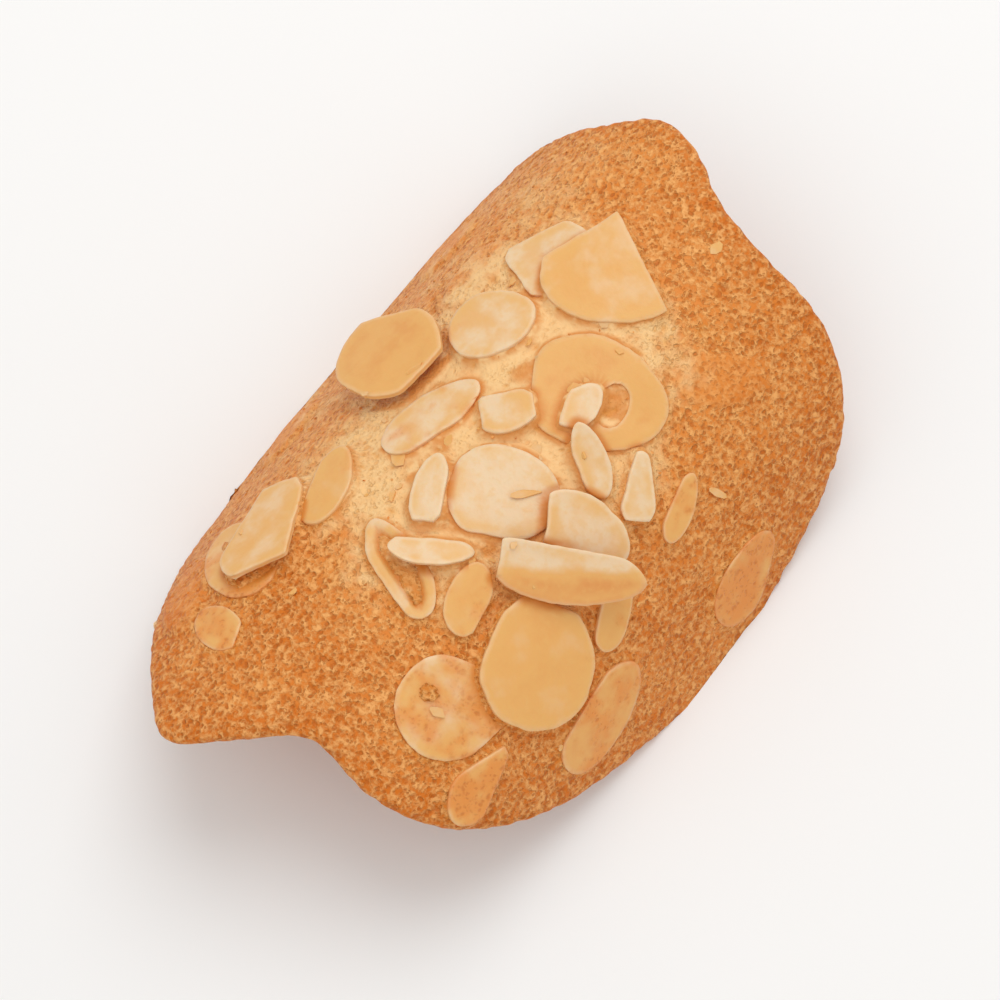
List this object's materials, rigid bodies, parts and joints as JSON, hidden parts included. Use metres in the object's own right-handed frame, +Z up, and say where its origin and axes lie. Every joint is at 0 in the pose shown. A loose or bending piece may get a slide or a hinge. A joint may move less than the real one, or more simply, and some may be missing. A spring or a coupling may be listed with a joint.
{
  "type": "almond tuile",
  "caption": "Thin crisp almond biscuit, bent into an arch like a roof tile, its rounded back scattered with sliced almonds; lies hollow side down on its two long edges.",
  "frame": {"origin": "middle of the object's box, on the surface that it stands on", "axes": "+Z up, +Y along the arch (the object's length), +X across the arch"},
  "size_m": [0.0656, 0.1034, 0.0318],
  "materials": {
    "baked_batter": "matt baked batter, pored, pale gold on the back and browner at the rim",
    "toasted_almond": "lightly toasted sliced almond, cream with a faint satin sheen"
  },
  "bodies": {
    "root": {"biscuit": "baked_batter", "slice_01": "toasted_almond", "slice_02": "toasted_almond", "slice_03": "toasted_almond", "slice_04": "toasted_almond", "slice_05": "toasted_almond", "slice_06": "toasted_almond", "slice_07": "toasted_almond", "slice_08": "toasted_almond", "slice_09": "toasted_almond", "slice_10": "toasted_almond", "slice_11": "toasted_almond", "slice_12": "toasted_almond", "slice_13": "toasted_almond", "slice_14": "toasted_almond", "slice_15": "toasted_almond", "slice_16": "toasted_almond", "slice_17": "toasted_almond", "slice_18": "toasted_almond", "slice_19": "toasted_almond", "slice_20": "toasted_almond", "slice_21": "toasted_almond", "slice_22": "toasted_almond", "slice_23": "toasted_almond", "slice_24": "toasted_almond", "slice_25": "toasted_almond", "slice_26": "toasted_almond", "slice_27": "toasted_almond", "slice_28": "toasted_almond"}
  },
  "joints": []
}
